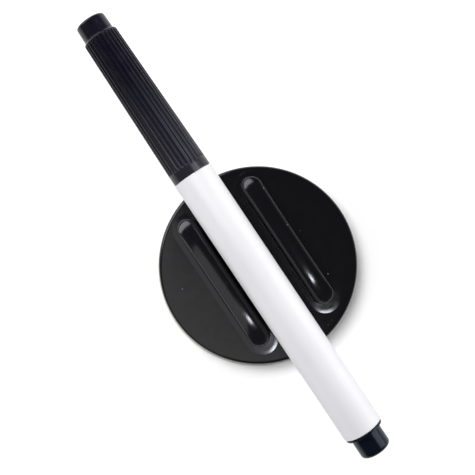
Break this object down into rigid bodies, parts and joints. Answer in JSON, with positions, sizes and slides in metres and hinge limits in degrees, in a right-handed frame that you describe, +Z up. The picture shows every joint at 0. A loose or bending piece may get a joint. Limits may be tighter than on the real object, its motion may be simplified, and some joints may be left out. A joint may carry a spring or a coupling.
{
  "type": "lens cleaning pen with round wiping puck",
  "caption": "Capped fibre-tip lens cleaning pen lying in the grip channel of a round felt-faced wiping puck; the pen lifts out and its fluted cap pulls off.",
  "frame": {"origin": "centre of the puck's round felt face, on the surface that the puck rests on", "axes": "+Z up out of the table; +X along the pen's axis, from the cap towards the rear plug; +Y across the channel between the grip ridges"},
  "size_m": [0.134, 0.0562, 0.0206],
  "materials": {
    "barrel_white": "satin white moulded polypropylene",
    "natural_polymer": "unpigmented translucent moulding",
    "tip_fibre": "bonded polyester fibre",
    "wick_fibre": "bonded polyester fibre",
    "core_fibre": "loose polyester fibre bundle",
    "clear_film": "clear wrap film",
    "plug_black": "gloss blue-black moulding",
    "cap_black": "gloss black moulding with fine flutes",
    "cover_black": "satin black moulding",
    "tape_white": "white double-sided tape",
    "foam_grey": "grey open-cell foam",
    "felt_cream": "cream pressed wool felt"
  },
  "bodies": {
    "puck": {"puck_cover": "cover_black", "cover_tape": "tape_white", "foam_core": "foam_grey", "pad_tape": "tape_white", "felt_face": "felt_cream"},
    "pen": {"barrel": "barrel_white", "tip_holder": "natural_polymer", "cleaning_tip": "tip_fibre", "feed_wick": "wick_fibre", "reservoir_core": "core_fibre", "reservoir_film": "clear_film", "breather_tube": "natural_polymer", "rear_plug": "plug_black"},
    "cap": {"cap_shell": "cap_black", "cap_liner": "natural_polymer"}
  },
  "joints": [
    {"name": "pen_lift", "type": "slide", "parent": "puck", "child": "pen", "axis": [0, 0, 1], "range_m": [0, 0.06]},
    {"name": "cap_pull", "type": "slide", "parent": "pen", "child": "cap", "axis": [-1, 0, 0], "range_m": [0, 0.045]}
  ]
}
